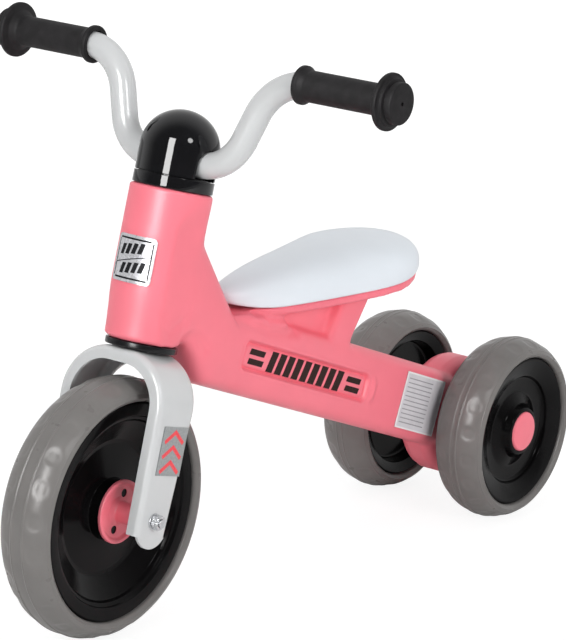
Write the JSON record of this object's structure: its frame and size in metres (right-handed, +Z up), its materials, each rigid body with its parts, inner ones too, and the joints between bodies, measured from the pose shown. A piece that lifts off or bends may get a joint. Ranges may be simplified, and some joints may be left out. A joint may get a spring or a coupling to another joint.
{
  "type": "toddler balance trike",
  "caption": "Toddler balance trike with a moulded body, a padded-look saddle, a raked steering fork, bent handlebar with grips, one front and two rear wheels.",
  "frame": {"origin": "on the ground under the middle of the bounding box, with the trike standing on its wheels", "axes": "+Z up, -Y the way the trike rolls forwards, +X the rider's left; the wheel axles run along X"},
  "size_m": [0.353, 0.6076, 0.4236],
  "materials": {
    "pink_moulding": "satin coral pink moulding",
    "white_seat": "smooth cool white",
    "white_paint": "glossy light grey-white paint",
    "gloss_black": "glossy black moulding",
    "satin_black": "satin black moulding",
    "grip_rubber": "satin black soft grip",
    "grey_tyre": "semi-gloss mid grey foam rubber",
    "steel": "zinc plated",
    "nylon": "natural white",
    "silver_foil": "brushed silver foil",
    "dark_ink": "dark printed film"
  },
  "bodies": {
    "frame": {"body_shell": "pink_moulding", "seat_pad": "white_seat", "seat_screw_left": "steel", "seat_screw_right": "steel", "side_decal_left": "dark_ink", "side_decal_right": "dark_ink", "rear_label": "silver_foil", "front_badge": "silver_foil", "upper_head_bush": "gloss_black", "lower_head_bush": "satin_black", "rear_axle": "steel", "rear_axle_nut_left": "steel", "rear_axle_nut_right": "steel", "rear_washer_inner_left": "steel", "rear_washer_inner_right": "steel", "rear_washer_outer_left": "steel", "rear_washer_outer_right": "steel"},
    "steering": {"fork": "white_paint", "fork_sticker_left": "silver_foil", "fork_sticker_right": "silver_foil", "steerer_tube": "steel", "handlebar": "white_paint", "head_cap": "gloss_black", "grip_left": "grip_rubber", "grip_right": "grip_rubber", "stem_bolt": "steel", "stem_washer": "steel", "stem_wedge": "steel", "front_axle_bolt": "steel", "front_axle_nut": "steel", "front_axle_sleeve": "steel", "front_washer_left": "steel", "front_washer_right": "steel"},
    "front_wheel": {"front_tyre": "grey_tyre", "front_rim": "gloss_black", "front_hub_flange_left": "pink_moulding", "front_hub_flange_right": "pink_moulding"},
    "rear_wheel_left": {"rear_tyre_left": "grey_tyre", "rear_rim_left": "gloss_black", "rear_hub_cap_left": "pink_moulding", "rear_bush_inner_left": "nylon", "rear_bush_outer_left": "nylon"},
    "rear_wheel_right": {"rear_tyre_right": "grey_tyre", "rear_rim_right": "gloss_black", "rear_hub_cap_right": "pink_moulding", "rear_bush_inner_right": "nylon", "rear_bush_outer_right": "nylon"}
  },
  "joints": [
    {"name": "steer", "type": "hinge", "parent": "frame", "child": "steering", "pos_m": [0, -0.20236, 0.09278], "axis": [0, 0.2419, 0.9703], "range_deg": [-55, 55]},
    {"name": "front_wheel_spin", "type": "hinge", "parent": "steering", "child": "front_wheel", "pos_m": [0, -0.20925, 0.0945], "axis": [1, 0, 0], "continuous": true},
    {"name": "rear_left_wheel_spin", "type": "hinge", "parent": "frame", "child": "rear_wheel_left", "pos_m": [0.0549, 0.23075, 0.073], "axis": [1, 0, 0], "continuous": true},
    {"name": "rear_right_wheel_spin", "type": "hinge", "parent": "frame", "child": "rear_wheel_right", "pos_m": [-0.0549, 0.23075, 0.073], "axis": [1, 0, 0], "continuous": true}
  ]
}
